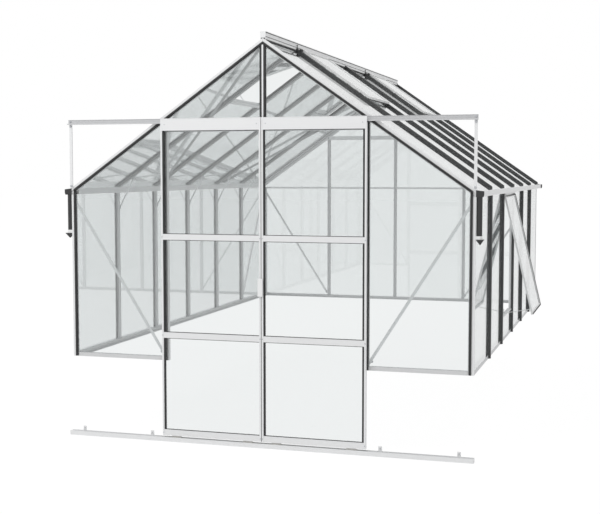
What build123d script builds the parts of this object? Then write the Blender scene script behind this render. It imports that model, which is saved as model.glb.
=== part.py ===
"""Glass greenhouse for a low wall: aluminium glazing bars, glass, sliding doors, roof vents.

X runs across the gables, +Y from the door gable to the rear gable, +Z up.  The origin is
on the underside of the rear base sill, in its middle, where the base is bolted to its wall.
"""

import math
import os

from build123d import *

# ---------------------------------------------------------------- driving dimensions (mm)
BAY = 635.0  # from one glazing bar to the next
GABLE_BAYS = 4  # bays across a gable
SIDE_BAYS = 6  # bays along a side
EAVES_HEIGHT = 1070.0  # sill underside to the roof plane over the side wall
ROOF_RISE = 890.0  # eaves to apex, on the bar planes
DOOR_DROP = 505.0  # bottom of the door track below the sills
HEAD_DROP = 4.4  # top of the door track below the roof plane, over the jambs

GLASS = 3.0
SEAT = 10.0  # a pane's inner face, outward of the bar plane
SEAT_THICK = 2.0  # flanges that the panes rest on
BAR_DEPTH = 6.0  # how far a bar reaches inward of the bar plane
BAR_WIDTH = 28.0
WEB = 3.0
CHANNEL_WIDTH = 12.0
CHANNEL_DEPTH = 12.0
CHANNEL_MOUTH = 6.0  # slot that takes the square bolt heads
CHANNEL_WALL = 1.8
FACE = 15.0  # outer face of posts, rafters and jambs
FACE_WALL = 3.0
RETURN = 2.0  # how far a post's face comes back over the bar plane
SEAT_REACH = 22.0  # how far a post's seat flange reaches under the pane
PANE_GAP = 3.0  # pane edge to the metal beside it
SPINE_RISE = 6.0  # bar spine above the glass, which the capping grips
CAP_RISE = 15.0  # black bar capping, proud of the glass
STRIP_WIDTH = 15.0  # black glazing strip beside posts and jambs
STRIP_RISE = 9.0
STRIP_BEVEL = 4.0
STRIP_START = 2.0  # black strips and capping start this far above the sill underside

SILL_HEIGHT = 24.0
SILL_WALL = 2.0
SILL_DEPTH = 14.0  # how far sills, jambs and header reach inward of the bar plane
SILL_FLANGE = 20.0  # inner foot flange that is bolted down
RAIL_DEPTH = 34.0  # eaves rail, from the eaves height down
RAIL_INNER = 16.0
GUTTER_REACH = 52.0  # outer lip of the gutter, outward of the bar plane
GUTTER_WALL = 2.0
END_CAP_THICK = 3.0
RIDGE_HALF = 16.0
RIDGE_CREST = 58.0  # top of the ridge above the apex of the bar planes
RIDGE_DEPTH = 34.0  # how far the ridge reaches below the apex
RIDGE_LIP = 4.0
RIDGE_RIB = 1.5  # rib along each face of the ridge
RIDGE_END = 9.0  # ridge end, outward of each gable's bar plane

JAMB_OVERLAP = 9.0  # the doorway is two bays less this on each side
JAMB_FACE = 17.0
HEADER_HEIGHT = 67.0
HEADER_TOP_DROP = 13.0  # header top below the top of the door track
KING_HALF = 5.0
TRACK_HEIGHT = 30.0
TRACK_WIDTH = 23.0
TRACK_LIP = 7.0
TRACK_WALL = 3.0
TRACK_BACK = 22.0  # back of the door track, in front of the door gable's bar plane
TRACK_SPARE = 13.0  # track beyond an open leaf
LEAF_COVER = 26.0  # how far a closed leaf passes the clear doorway
LEAF_GAP = 2.0  # half the gap between the closed leaves
LEAF_BACK = 33.0  # back of a leaf, in front of the bar plane
LEAF_DEPTH = 23.0
LEAF_STOP = 20.0  # an open leaf stops this much short of its own width
STILE = 11.0
STILE_WALL = 1.5
STILE_HEAD = 6.0  # thickness of a stile beside the hood, in front of the track
SEAL = 12.0  # black rubber seal that shows beside a stile
LEAF_RAISE = 38.0  # leaf underside above the bottom of its track
BOTTOM_RAIL = 38.0
MIDDLE_RAIL = 36.0
MIDDLE_RAILS_AT = (148.0, 760.0)  # undersides, above the sill underside
TOP_RAIL = 37.0
RAIL_INSET = 1.0  # door rails behind the front of their stiles
HOOD_THICK = 3.0
HOOD_BEAD = 1.5  # beads along the hood's top and bottom edges
SLOT = 4.0  # glazing slot in the door rails and seals
SLOT_DEPTH = 6.0
PANE_BITE = 5.0  # how far a door pane goes into its slots
ROLLER_RADIUS = 10.0
ROLLER_WIDTH = 8.0
PIN_RADIUS = 3.0
GUIDE_LENGTH = 60.0
GUIDE_DEPTH = 28.0
FOOT_TRACK_WIDTH = 32.0
FOOT_TRACK_HEIGHT = 28.0
ROLLER_INSET = 90.0  # from a leaf's edge to the middle of a roller

VENT_BAYS = (1, 4)  # counted from the door gable, 0 is the first
VENT_ANGLES = {(-1, 1): 18.0}  # (side, bay) of the vent that stands open; the others are shut
VENT_HINGE_DROP = 36.0  # hinge line below the apex, down the slope
VENT_LENGTH = 550.0  # down the slope from the hinge
VENT_RAIL = 18.0
VENT_DEPTH = 14.0
VENT_SILL = 24.0
VENT_LAP = 37.0  # bottom edge of a vent below the middle of its sill bar
VENT_SIDE = 18.0  # side of a vent to the middle of the bar beside it
HINGE_RADIUS = 3.5
VENT_LIFT = 2.0  # underside of a shut vent above the bar capping
WINDOW_BAY = 2
WINDOW_ANGLE = 13.5
WINDOW_SILL = 165.0
WINDOW_RAIL = 20.0
WINDOW_BACK = 22.0  # back of the window leaf, outward of the bar plane
WINDOW_DEPTH = 12.0
BRACE_WIDTH = 18.0
BRACE_THICK = 3.0
BRACE_DROP = 51.0  # head of a wall brace below the eaves rail
BRACE_FOOT = 40.0
TIE_HEIGHT = 35.0
TIE_LIP = 14.0
STAY_WIDTH = 12.0
STAY_THICK = 3.0
STAY_STEP = 30.0  # from one peg hole to the next
STAY_HOLE = 2.5
KNEE_DROP = 125.0  # foot of a knee brace below the eaves rail
KNEE_REACH = 113.0  # head of a knee brace inward of the wall
STRUT_WIDTH = 21.0
TAB_PLACES = (735.0, 1205.0)  # fixing tabs of the bottom track, each side of the middle
PIPE_RADIUS = 17.0
PIPE_WALL = 2.0
PIPE_LENGTH = 226.0
PIPE_OFFSET = 33.5  # middle of a downpipe, outward of the side wall
PIPE_BACK = 3.0  # and behind the door gable's bar plane
CLIP_HEIGHT = 20.0
SPOUT_WIDTH = 45.0
SPOUT_HEIGHT = 31.0
CLEAR = 8.0  # top of a leaf below the underside of its track
TOUCH = 0.3  # gap between trim pieces that meet

# ---------------------------------------------------------------- derived sizes
HALF = BAY * GABLE_BAYS / 2
LENGTH = BAY * SIDE_BAYS
SLOPE = math.atan2(ROOF_RISE, HALF)
COS, SIN, TAN = math.cos(SLOPE), math.sin(SLOPE), math.tan(SLOPE)
SLOPE_LENGTH = HALF / COS
APEX = EAVES_HEIGHT + ROOF_RISE
RAIL_UNDERSIDE = EAVES_HEIGHT - RAIL_DEPTH
RIDGE_TOP = APEX + RIDGE_CREST
RIDGE_LOW = APEX - RIDGE_DEPTH
SEAT_BACK = SEAT - SEAT_THICK
GLASS_FACE = SEAT + GLASS
SPINE_TOP = GLASS_FACE + SPINE_RISE
CAP_TOP = GLASS_FACE + CAP_RISE
STRIP_TOP = GLASS_FACE + STRIP_RISE
JAMB_INNER = BAY - JAMB_OVERLAP
JAMB_OUTER = JAMB_INNER + JAMB_FACE
DOOR_HEAD = EAVES_HEIGHT + (HALF - JAMB_OUTER) * TAN - HEAD_DROP
HEADER_HIGH = DOOR_HEAD - HEADER_TOP_DROP
HEADER_LOW = HEADER_HIGH - HEADER_HEIGHT
TRACK_LOW = DOOR_HEAD - TRACK_HEIGHT
LEAF_WIDTH = JAMB_INNER + LEAF_COVER - LEAF_GAP
LEAF_FRONT = LEAF_BACK + LEAF_DEPTH
LEAF_MIDDLE = LEAF_BACK + LEAF_DEPTH / 2
LEAF_LOW = LEAF_RAISE - DOOR_DROP
LEAF_HIGH = TRACK_LOW - CLEAR
DOOR_TRAVEL = LEAF_WIDTH - LEAF_STOP
TRACK_HALF = LEAF_GAP + LEAF_WIDTH + DOOR_TRAVEL + TRACK_SPARE
VENT_HINGE_UP = SLOPE_LENGTH - VENT_HINGE_DROP
VENT_FOOT_UP = VENT_HINGE_UP - VENT_LENGTH
VENT_SILL_UP = VENT_FOOT_UP + VENT_LAP
VENT_LOW = CAP_TOP + VENT_LIFT
VENT_HIGH = VENT_LOW + VENT_DEPTH
SIDES = (-1, 1)
TALL = 3000.0  # longer than any upright, for pieces that the roof cuts to length

nodes = {}


# ---------------------------------------------------------------- helpers
def prism(corners, run, length):
    """Straight extrusion of a closed flat outline given by its corners in space."""
    return extrude(make_face(Polyline(*corners, close=True)), amount=length, dir=run)


def across(points, start, end):
    """Extrusion along X of an outline of (y, z) points."""
    low, high = sorted((start, end))
    return prism([Vector(low, y, z) for y, z in points], (1, 0, 0), high - low)


def lengthwise(points, start, end):
    """Extrusion along Y of an outline of (x, z) points."""
    return prism([Vector(x, start, z) for x, z in points], (0, 1, 0), end - start)


def upright(points, start, end):
    """Extrusion along Z of an outline of (x, y) points."""
    return prism([Vector(x, y, start) for x, y in points], (0, 0, 1), end - start)


def member(section, start, along, outward, length):
    """Extrusion of (across, outward) points from a start point along any direction."""
    run, out = Vector(*along).normalized(), Vector(*outward).normalized()
    cross = out.cross(run)
    return prism([Vector(*start) + cross * a + out * n for a, n in section], run, length)


def block(low, high):
    """Box between two corners, in either order."""
    size = [abs(b - a) for a, b in zip(low, high)]
    centre = [(a + b) / 2 for a, b in zip(low, high)]
    return Pos(*centre) * Box(*size)


def add(name, *pieces):
    """Collect the solids of one named sub-part."""
    held = nodes.setdefault(name, [])
    for piece in pieces:
        held.extend(piece.solids())


def side_name(side):
    return "left" if side < 0 else "right"


def mirrored(half):
    """Closed outline from its right half."""
    return half + [(-x, n) for x, n in reversed(half)]


def roof_height(reach, normal=0.0):
    """Height of the plane `normal` off the roof's bar plane, `reach` outward of the side wall."""
    return EAVES_HEIGHT + normal / COS - reach * TAN


def slope_axes(side):
    """Outward and uphill directions of one roof slope."""
    return Vector(side * SIN, 0, COS), Vector(-side * COS, 0, SIN)


def on_slope(side, along, up, normal):
    """Point on a slope, from its place along the eaves, up the slope and off the bar plane."""
    outward, uphill = slope_axes(side)
    return Vector(side * HALF, along, EAVES_HEIGHT) + outward * normal + uphill * up


def roof_slab(side, along, up, normal):
    """Plate on a slope between two places along it, two up it and two off the bar plane."""
    corners = [on_slope(side, y, s, normal[0]) for y, s in
               ((along[0], up[0]), (along[1], up[0]), (along[1], up[1]), (along[0], up[1]))]
    return prism(corners, slope_axes(side)[0], normal[1] - normal[0])


def roof_profile(side, points, start, end):
    """Extrusion along the roof of an outline of (up the slope, off the bar plane) points."""
    return prism([on_slope(side, start, s, n) for s, n in points], (0, 1, 0), end - start)


def under_roof(normal):
    """Everything under the plane `normal` off the roof's bar planes, past both gables."""
    top, reach = APEX + normal / COS, 2 * HALF
    edge = top - reach * TAN
    points = [(-reach, -HALF), (reach, -HALF), (reach, edge), (0, top), (-reach, edge)]
    return lengthwise(points, -TALL / 10, LENGTH + TALL / 10)


def ridge_space():
    """Room that the ridge takes, with a little clearance; the rafters meet in front of it."""
    half = RIDGE_HALF + 1
    return block((-half, -RIDGE_END - 1, RIDGE_LOW - 1), (half, LENGTH + RIDGE_END + 1, TALL))


def bay_span(bay, last, edge, gap):
    """Two edges of a pane in one bay of a wall `last` bays long."""
    low = edge if bay == 0 else bay * BAY + gap
    high = last * BAY - edge if bay == last - 1 else (bay + 1) * BAY - gap
    return low, high


# ---------------------------------------------------------------- extruded sections
def bar_section():
    """Glazing bar: bolt channel, web, seat flange and the spine that the capping grips."""
    channel, web, wide, mouth = CHANNEL_WIDTH / 2, WEB / 2, BAR_WIDTH / 2, CHANNEL_MOUTH / 2
    low, top = -BAR_DEPTH, CHANNEL_DEPTH - BAR_DEPTH
    half = [(mouth, low), (channel, low), (channel, top), (web, top), (web, SEAT_BACK),
            (wide, SEAT_BACK), (wide, SEAT), (web, SEAT), (web, SPINE_TOP)]
    room = channel - CHANNEL_WALL
    inner = [(room, top - CHANNEL_WALL), (room, low + CHANNEL_WALL), (mouth, low + CHANNEL_WALL)]
    return mirrored(half) + [(-x, n) for x, n in reversed(inner)] + inner


def cap_section():
    """Black capping with a groove over the bar's spine and bevelled shoulders."""
    half, groove = BAR_WIDTH / 2, WEB / 2 + 0.7
    edge = [(groove, GLASS_FACE), (half, GLASS_FACE), (half, CAP_TOP - STRIP_BEVEL),
            (half - STRIP_BEVEL, CAP_TOP)]
    return mirrored(edge) + [(-groove, SPINE_TOP + 1), (groove, SPINE_TOP + 1)]


def strip_section(start):
    """Black strip on the glass beside the metal face at `start`."""
    far = start + STRIP_WIDTH
    return [(start, GLASS_FACE), (far, GLASS_FACE), (far, STRIP_TOP - STRIP_BEVEL),
            (far - STRIP_BEVEL, STRIP_TOP), (start, STRIP_TOP)]


def corner_section():
    """Corner post or rafter: hollow corner with a pane seat on both of its surfaces."""
    room = FACE - FACE_WALL
    inner = FACE_WALL - RETURN
    one_way = [(FACE, -RETURN), (SEAT, -RETURN), (SEAT, -SEAT_REACH), (SEAT_BACK, -SEAT_REACH),
               (SEAT_BACK, inner), (room, inner)]
    return [(FACE, FACE)] + one_way + [(room, room)] + [(b, a) for a, b in reversed(one_way)]


def corner_member(gable, start, run, outward, length):
    """Corner section: first value outward of the side or roof, second outward of the gable."""
    end_wall = Vector(0, -1 if gable == 0 else 1, 0)
    corners = [start + outward * a + end_wall * b for a, b in corner_section()]
    return prism(corners, run, length)


# ---------------------------------------------------------------- base, posts and eaves
def sill_section():
    """Base sill as (outward, up): a hollow box with an inner flange that is bolted down."""
    foot = -SILL_DEPTH - SILL_FLANGE
    outline = [(foot, 0), (GLASS_FACE, 0), (GLASS_FACE, SILL_HEIGHT), (-SILL_DEPTH, SILL_HEIGHT),
               (-SILL_DEPTH, FACE_WALL), (foot, FACE_WALL)]
    low, high = SILL_WALL, SILL_HEIGHT - SILL_WALL
    hollow = [(SILL_WALL - SILL_DEPTH, low), (GLASS_FACE - SILL_WALL, low),
              (GLASS_FACE - SILL_WALL, high), (SILL_WALL - SILL_DEPTH, high)]
    return outline, hollow


def sills():
    end = HALF - SEAT_REACH
    outline, hollow = sill_section()
    for side in SIDES:
        solid, room = [lengthwise([(side * (HALF + o), z) for o, z in ring], SEAT_REACH,
                                  LENGTH - SEAT_REACH) for ring in (outline, hollow)]
        add("base_sills", solid - room)
        solid, room = [across([(-o, z) for o, z in ring], side * JAMB_OUTER, side * end)
                       for ring in (outline, hollow)]
        add("base_sills", solid - room)
    solid, room = [across([(LENGTH + o, z) for o, z in ring], -end, end)
                   for ring in (outline, hollow)]
    add("base_sills", solid - room)


def corner_posts():
    for side in SIDES:
        for gable, y in enumerate((0, LENGTH)):
            add("corner_posts", corner_member(gable, Vector(side * HALF, y, 0), (0, 0, 1),
                                              Vector(side, 0, 0), RAIL_UNDERSIDE))


def rail_outlines():
    """Eaves rail as (outward, z): a hollow roof seat with the gutter trough outside it."""
    inner, lip, wall = -RAIL_INNER, 5.0, GUTTER_WALL
    low, top, edge = RAIL_UNDERSIDE, EAVES_HEIGHT, GUTTER_REACH

    def seat(reach, drop=0.0):
        return roof_height(reach, -BAR_DEPTH) - drop

    outline = [(inner, low), (edge, low), (edge, top), (edge - lip, top), (edge - lip, top - wall),
               (edge - wall, top - wall), (edge - wall, low + wall), (FACE, low + wall),
               (FACE, seat(FACE)), (inner, seat(inner))]
    near, far = inner + wall, FACE - wall
    hollow = [(near, low + wall), (far, low + wall), (far, seat(far, 2.5)), (near, seat(near, 2.5))]
    return outline, hollow


def eaves():
    ends = (-FACE, LENGTH + FACE)
    for side in SIDES:
        solid, room = [lengthwise([(side * (HALF + o), z) for o, z in ring], *ends)
                       for ring in rail_outlines()]
        rail = solid - room
        for low, high in ((-FACE - 1, SEAT_REACH), (LENGTH - SEAT_REACH, LENGTH + FACE + 1)):
            rail -= block((side * (HALF - 2 * SEAT_REACH), low, RAIL_UNDERSIDE - 1),
                          (side * (HALF + FACE), high, EAVES_HEIGHT + SEAT_REACH))
        outlet = Pos(side * (HALF + PIPE_OFFSET), PIPE_BACK, RAIL_UNDERSIDE)
        add("eaves_rails", rail - outlet * Cylinder(PIPE_RADIUS - PIPE_WALL, 4 * GUTTER_WALL))
        plate = [(FACE, RAIL_UNDERSIDE - 2), (GUTTER_REACH + 6, RAIL_UNDERSIDE - 2),
                 (GUTTER_REACH + 10, RAIL_UNDERSIDE + 10), (GUTTER_REACH + 10, EAVES_HEIGHT - 2),
                 (FACE, EAVES_HEIGHT + 4)]
        for y in (ends[0] - END_CAP_THICK, ends[1]):
            add("gutter_end_caps", lengthwise([(side * (HALF + o), z) for o, z in plate], y,
                                              y + END_CAP_THICK))


def downpipes():
    """Short pipe under each front gutter end, with a clip on the post and a pointed spout."""
    bottom = RAIL_UNDERSIDE - PIPE_LENGTH
    clip_low = bottom - CLIP_HEIGHT
    neck = PIPE_RADIUS - PIPE_WALL
    ring = PIPE_OFFSET - FACE
    for side in SIDES:
        middle = Pos(side * (HALF + PIPE_OFFSET), PIPE_BACK, 0)
        pipe = Cylinder(PIPE_RADIUS, PIPE_LENGTH) - Cylinder(neck, PIPE_LENGTH)
        add("downpipes", middle * Pos(0, 0, bottom + PIPE_LENGTH / 2) * pipe)
        clip = Cylinder(ring, CLIP_HEIGHT) + Pos(-side * ring * 3 / 4, 0, 0) * Box(
            ring / 2, 2 * ring, CLIP_HEIGHT)
        add("downpipe_clips", middle * Pos(0, 0, clip_low + CLIP_HEIGHT / 2)
            * (clip - Cylinder(neck, CLIP_HEIGHT)))
        shift = Pos(side * (FACE + SPOUT_WIDTH / 2 + 1 - PIPE_OFFSET), 0, 0)
        funnel = loft([Pos(0, 0, clip_low - SPOUT_HEIGHT) * Rectangle(5, 5),
                       Pos(0, 0, clip_low) * Rectangle(SPOUT_WIDTH, SPOUT_WIDTH)])
        stub = Pos(0, 0, clip_low + CLIP_HEIGHT / 2 - 1) * Cylinder(neck, CLIP_HEIGHT - 2)
        add("downpipes", middle * (shift * funnel + stub))


# ---------------------------------------------------------------- glazing bars, rafters, ridge
def wall_bars():
    for side in SIDES:
        for bay in range(1, SIDE_BAYS):
            start = (side * HALF, bay * BAY)
            add("side_bars", member(bar_section(), (*start, SILL_HEIGHT), (0, 0, 1), (side, 0, 0),
                                    RAIL_UNDERSIDE - SILL_HEIGHT))
            add("side_caps", member(cap_section(), (*start, STRIP_START), (0, 0, 1), (side, 0, 0),
                                    RAIL_UNDERSIDE - 2 * STRIP_START))


def roof_trim(side, low_reach, high_half, piece):
    """Cut a roof piece to upright ends past the eaves and beside the ridge."""
    margin = TALL / 10
    return piece & block((side * high_half, -margin, 0),
                         (side * (HALF + low_reach), LENGTH + margin, TALL))


def roof_member(side, y, section, low_reach, high_half):
    outward, uphill = slope_axes(side)
    start = on_slope(side, y, -4 * GUTTER_REACH, 0)
    piece = member(section, tuple(start), tuple(uphill), tuple(outward), TALL)
    return roof_trim(side, low_reach, high_half, piece)


def roof_bars():
    """Roof bars and their capping; the rear rafter carries a capping of its own."""
    low_end = GLASS_FACE + STRIP_RISE + STRIP_START
    for side in SIDES:
        for bay in range(1, SIDE_BAYS):
            add("roof_bars", roof_member(side, bay * BAY, bar_section(), SEAT_BACK, RIDGE_HALF))
            add("roof_caps", roof_member(side, bay * BAY, cap_section(), low_end, RIDGE_HALF + 1))
        near, top = -BAR_WIDTH / 2 + RETURN, CAP_TOP
        inner = -RETURN - TOUCH
        ring = [(near, GLASS_FACE), (inner, GLASS_FACE), (inner, FACE), (FACE, FACE),
                (FACE, top - STRIP_BEVEL), (FACE - STRIP_BEVEL, top), (near + STRIP_BEVEL, top),
                (near, top - STRIP_BEVEL)]
        ring = [(-side * a, n) for a, n in ring]
        add("roof_caps", roof_member(side, LENGTH, ring, low_end, RIDGE_HALF + 1))


def rafters():
    """Rafters of both gables; their front parts run on past the ridge and meet in the middle."""
    middle_gap = 0.5
    for side in SIDES:
        outward, uphill = slope_axes(side)
        for gable, y in enumerate((0, LENGTH)):
            beam = corner_member(gable, on_slope(side, y, -4 * GUTTER_REACH, 0), uphill, outward,
                                 TALL)
            keep = block((side * middle_gap, y - SILL_HEIGHT, RAIL_UNDERSIDE),
                         (side * (HALF + FACE), y + SILL_HEIGHT, TALL))
            add("rafters", (beam & keep) - ridge_space())


def ridge():
    """Ridge extrusion, open below, with a narrow crest lip; its ends are closed by plates."""
    wall, lip, rise = 2.5, RIDGE_HALF + RIDGE_LIP, RIDGE_TOP - RIDGE_LIP
    rib, middle = RIDGE_HALF + RIDGE_RIB, (APEX + RIDGE_TOP) / 2
    half = [(RIDGE_HALF, RIDGE_LOW), (RIDGE_HALF, middle - RIDGE_RIB), (rib, middle),
            (RIDGE_HALF, middle + RIDGE_RIB), (RIDGE_HALF, rise), (lip, rise), (lip, RIDGE_TOP - 1),
            (lip - 1, RIDGE_TOP)]
    room = RIDGE_HALF - wall
    inner = [(room, RIDGE_TOP - wall), (room, RIDGE_LOW)]
    points = mirrored(half) + [(-x, z) for x, z in reversed(inner)] + inner
    start, end = -RIDGE_END, LENGTH + RIDGE_END
    body = lengthwise(points, start, end)
    for low, high in ((start - wall, start), (end, end + wall)):
        body += block((-RIDGE_HALF, low, APEX + FACE / COS + 2), (RIDGE_HALF, high, RIDGE_TOP - 1))
    add("ridge", body)


def roof_seals():
    """Black strips on the roof glass along the ridge, and under the foot of each shut vent."""
    inset = BAR_WIDTH / 2 + TOUCH
    for side in SIDES:
        for bay in range(SIDE_BAYS):
            low, high = bay_span(bay, SIDE_BAYS, RETURN + TOUCH, inset)
            if bay == SIDE_BAYS - 1:
                high = LENGTH - BAR_WIDTH / 2
            if bay not in VENT_BAYS:
                up = (HALF - RIDGE_HALF + GLASS_FACE * SIN) / COS
                strip = roof_slab(side, (low, high), (up - 8, up + 8), (GLASS_FACE, GLASS_FACE + 6))
                add("roof_seals", roof_trim(side, GUTTER_REACH, RIDGE_HALF, strip))
            elif not VENT_ANGLES.get((side, bay)):
                edge = (bay * BAY + VENT_SIDE, (bay + 1) * BAY - VENT_SIDE)
                add("roof_seals", roof_slab(side, edge, (VENT_FOOT_UP, VENT_FOOT_UP + 8),
                                            (VENT_LOW - 8, VENT_LOW)))


# ---------------------------------------------------------------- gables
def front_gable():
    wing = JAMB_OUTER + 20
    face, room = JAMB_OUTER - FACE_WALL, FACE - FACE_WALL
    jamb = [(JAMB_INNER, -SILL_DEPTH), (JAMB_INNER, FACE), (JAMB_OUTER, FACE), (JAMB_OUTER, SEAT),
            (wing, SEAT), (wing, SEAT_BACK), (face, SEAT_BACK), (face, room),
            (JAMB_INNER + FACE_WALL, room), (JAMB_INNER + FACE_WALL, -SILL_DEPTH)]
    keep = under_roof(-SEAT_REACH)
    for side in SIDES:
        post = upright([(side * x, -n) for x, n in jamb], 0, TALL) & keep
        add("door_jambs", post - block((side * face, -SEAT, 0), (side * wing, 0, SILL_HEIGHT)))
        brush = [(side * x, -n) for x, n in ((JAMB_INNER + 4, FACE), (JAMB_OUTER, FACE),
                                             (JAMB_OUTER - 3, FACE + 6), (JAMB_OUTER - 5, FACE + 13),
                                             (JAMB_INNER + 7, FACE + 13), (JAMB_INNER + 6, FACE + 6))]
        add("door_jamb_seals", upright(brush, STRIP_START, HEADER_LOW - STRIP_START))
    wall, back = SILL_WALL, SILL_DEPTH
    solid = across([(back, HEADER_LOW), (-TRACK_BACK, HEADER_LOW), (-TRACK_BACK, HEADER_HIGH),
                    (back, HEADER_HIGH)], -JAMB_INNER, JAMB_INNER)
    room = across([(back - wall, HEADER_LOW + wall), (wall - TRACK_BACK, HEADER_LOW + wall),
                   (wall - TRACK_BACK, HEADER_HIGH - wall), (back - wall, HEADER_HIGH - wall)],
                  -JAMB_INNER, JAMB_INNER)
    add("door_header", solid - room)
    top = CHANNEL_DEPTH - BAR_DEPTH
    flange = KING_HALF + 16
    king = mirrored([(CHANNEL_WIDTH / 2, -BAR_DEPTH), (CHANNEL_WIDTH / 2, top), (WEB / 2, top),
                     (WEB / 2, SEAT_BACK), (flange, SEAT_BACK), (flange, SEAT), (KING_HALF, SEAT),
                     (KING_HALF, STRIP_TOP)])
    post = member(king, (0, 0, HEADER_HIGH), (0, 0, 1), (0, -1, 0), TALL)
    front = block((-flange, -SEAT, 0), (flange, -TRACK_BACK - 2, TALL))
    behind = block((-flange, -SEAT, 0), (flange, SILL_DEPTH, RIDGE_LOW - 1))
    spine = post & under_roof(-RETURN - STRIP_WIDTH - TOUCH) & front
    add("king_post", (post & keep & behind) + spine)


def gable_strips():
    """Black glazing strips of the door gable, beside the posts, jambs, king post and rafters."""
    keep = under_roof(-RETURN - STRIP_WIDTH - TOUCH)
    for side in SIDES:
        post = [(side * (HALF - x), -n) for x, n in strip_section(RETURN)]
        jamb = [(side * x, -n) for x, n in strip_section(JAMB_OUTER)]
        king = [(side * x, -n) for x, n in strip_section(KING_HALF)]
        add("gable_strips", upright(post, STRIP_START, TALL) & keep)
        add("gable_strips", upright(jamb, STRIP_START, TALL) & keep)
        add("gable_strips", upright(king, DOOR_HEAD + 2, TALL) & keep)
        outward, uphill = slope_axes(side)
        start = on_slope(side, 0, -4 * GUTTER_REACH, 0)
        ring = [start - outward * a + Vector(0, -n, 0) for a, n in strip_section(RETURN)]
        span = block((side * 0.5, -2 * FACE, RAIL_UNDERSIDE), (side * (HALF - RETURN), 0, TALL))
        add("gable_strips", prism(ring, uphill, TALL) & span)


def rear_gable():
    keep = under_roof(-SEAT_REACH)
    cap_keep = under_roof(-RETURN - 1)
    for bay in range(1, GABLE_BAYS):
        x = bay * BAY - HALF
        bar = member(bar_section(), (x, LENGTH, SILL_HEIGHT), (0, 0, 1), (0, 1, 0), TALL) & keep
        add("rear_gable_bars", bar - ridge_space())
        cap = member(cap_section(), (x, LENGTH, STRIP_START), (0, 0, 1), (0, 1, 0), TALL)
        add("rear_gable_caps", cap & cap_keep)
    tie_top = APEX - BAY * TAN - 4
    reach = BAY + BAR_WIDTH / 2
    face, wall, low = LENGTH - BAR_DEPTH, BRACE_THICK, tie_top - TIE_HEIGHT
    tie = across([(face, tie_top), (face - wall, tie_top), (face - wall, low + wall),
                  (face - TIE_LIP, low + wall), (face - TIE_LIP, low), (face, low)], -reach, reach)
    add("rear_gable_tie", tie & under_roof(-RETURN))


# ---------------------------------------------------------------- glass
def gable_pane(gable, x_low, x_high, z_low, z_high):
    """Pane in a gable between two uprights, cut to the rafters where it reaches them."""
    low, high = (-GLASS_FACE, -SEAT) if gable == 0 else (LENGTH + SEAT, LENGTH + GLASS_FACE)
    return block((x_low, low, z_low), (x_high, high, z_high)) & under_roof(-RETURN - PANE_GAP)


def gable_glass():
    gap, edge = WEB / 2 + PANE_GAP, RETURN + PANE_GAP
    base, joint = SILL_HEIGHT + 1, RAIL_UNDERSIDE - 6
    for side in SIDES:
        add("front_gable_glass", gable_pane(0, side * (JAMB_OUTER + PANE_GAP), side * (HALF - edge),
                                            base, TALL))
        add("front_gable_glass", gable_pane(0, side * (KING_HALF + PANE_GAP),
                                            side * (JAMB_INNER - PANE_GAP), HEADER_HIGH + 1, TALL))
    flange, web, reach = 1.5, 0.8, 8.5
    profile = [(web, SEAT), (reach, SEAT), (reach, SEAT - flange), (-reach, SEAT - flange),
               (-reach, SEAT), (-web, SEAT), (-web, GLASS_FACE), (-reach, GLASS_FACE),
               (-reach, GLASS_FACE + flange), (reach, GLASS_FACE + flange), (reach, GLASS_FACE),
               (web, GLASS_FACE)]
    for bay in range(GABLE_BAYS):
        low, high = [x - HALF for x in bay_span(bay, GABLE_BAYS, edge, gap)]
        add("rear_gable_glass", gable_pane(1, low, high, base, joint - 1),
            gable_pane(1, low, high, joint + 1, TALL))
        low, high = [x - HALF for x in bay_span(bay, GABLE_BAYS, SEAT_REACH + TOUCH,
                                                BAR_WIDTH / 2 + TOUCH)]
        add("rear_glass_joints", across([(LENGTH + n, joint + z) for z, n in profile], low, high))


def side_and_roof_glass():
    gap, edge = WEB / 2 + PANE_GAP, RETURN + PANE_GAP
    for side in SIDES:
        for bay in range(SIDE_BAYS):
            low, high = bay_span(bay, SIDE_BAYS, edge, gap)
            top = RAIL_UNDERSIDE - 2
            if side > 0 and bay == WINDOW_BAY:
                top = WINDOW_SILL
            add(f"side_glass_{side_name(side)}", block((side * (HALF + SEAT), low, SILL_HEIGHT + 1),
                                                       (side * (HALF + GLASS_FACE), high, top)))
            head = VENT_SILL_UP - VENT_SILL / 2 - 2 if bay in VENT_BAYS else SLOPE_LENGTH + FACE
            pane = roof_slab(side, (low, high), (-SILL_HEIGHT, head), (SEAT, GLASS_FACE))
            add(f"roof_glass_{side_name(side)}",
                roof_trim(side, GUTTER_REACH, RIDGE_HALF + 2, pane))


# ---------------------------------------------------------------- braces
def flat_bar(start, end, outward, section):
    """Bar between two points, its section as (across, outward)."""
    run = Vector(*end) - Vector(*start)
    return member(section, tuple(start), tuple(run), tuple(outward), run.length)


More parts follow.
